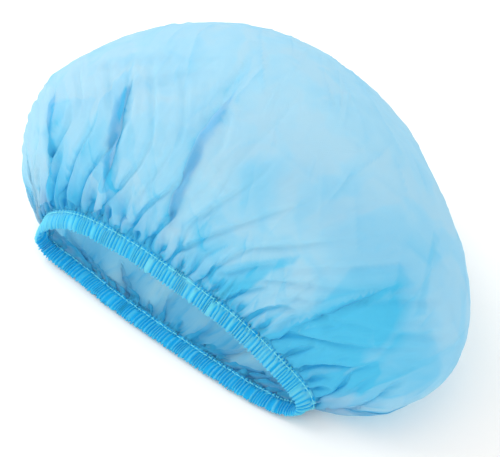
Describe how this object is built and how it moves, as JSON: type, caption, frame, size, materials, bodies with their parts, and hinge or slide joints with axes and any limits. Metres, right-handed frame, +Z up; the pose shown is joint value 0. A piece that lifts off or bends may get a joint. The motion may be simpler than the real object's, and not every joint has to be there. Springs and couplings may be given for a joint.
{
  "type": "disposable bouffant hairnet",
  "caption": "Disposable bouffant hairnet of thin non-woven fabric: a puffed crown gathered into a narrow hem that holds a flat elastic loop, lying on its side with the opening to the front.",
  "frame": {"origin": "on the surface that the cap lies on, under the middle of its bounding box", "axes": "+X along the opening's long way, from the side that is lower at the hem's left end in the picture to its right end; +Y from the opening to the back of the crown; +Z up, away from the surface"},
  "size_m": [0.295, 0.1812, 0.1433],
  "materials": {
    "crown_fabric": "matt, slightly see-through non-woven",
    "hem_fabric": "matt non-woven, several plies",
    "elastic": "matt knitted elastic"
  },
  "bodies": {
    "root": {"crown": "crown_fabric", "hem": "hem_fabric", "elastic": "elastic"}
  },
  "joints": []
}
